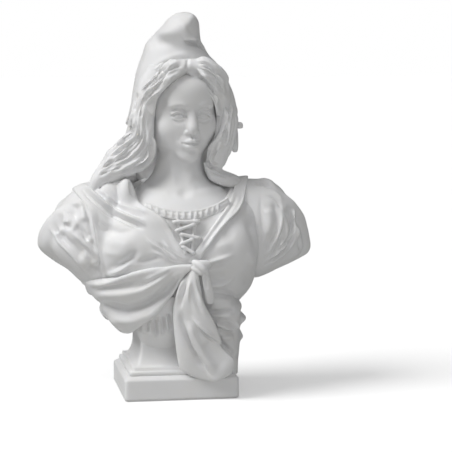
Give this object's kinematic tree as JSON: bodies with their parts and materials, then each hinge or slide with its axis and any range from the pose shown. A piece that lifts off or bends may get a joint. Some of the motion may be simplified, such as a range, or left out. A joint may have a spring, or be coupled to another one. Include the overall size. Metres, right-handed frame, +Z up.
{
  "type": "marble bust",
  "caption": "Small white marble portrait bust of a draped woman in a soft folded cap, on a square moulded plinth with a felt pad under it.",
  "frame": {"origin": "centre of the plinth's underside, on the face of the felt pad that rests on the table", "axes": "+Z up, from the plinth to the cap; -Y the way the figure faces; +X towards the figure's left arm"},
  "size_m": [0.1028, 0.0511, 0.1399],
  "materials": {
    "marble": "matte white stone-powder marble, finely honed, with faint cloudy tone and tiny casting pits",
    "steel": "zinc-plated steel, dull",
    "felt": "short-napped wool felt"
  },
  "bodies": {
    "root": {"plinth_block": "marble", "head_and_neck": "marble", "cap": "marble", "cap_lappet": "marble", "hair_front": "marble", "hair_right": "marble", "hair_left": "marble", "hair_back": "marble", "torso": "marble", "sleeve_right": "marble", "sleeve_left": "marble", "chemise_frill": "marble", "bodice_lacing": "marble", "shawl_knot": "marble", "shawl_shoulder": "marble", "shawl_strap": "marble", "shawl_swag": "marble", "shawl_tail": "marble", "skirt_ruffle": "marble", "skirt_fringe": "marble", "tie_rod": "steel", "tie_washer": "steel", "tie_nut": "steel", "felt_pad": "felt"}
  },
  "joints": []
}
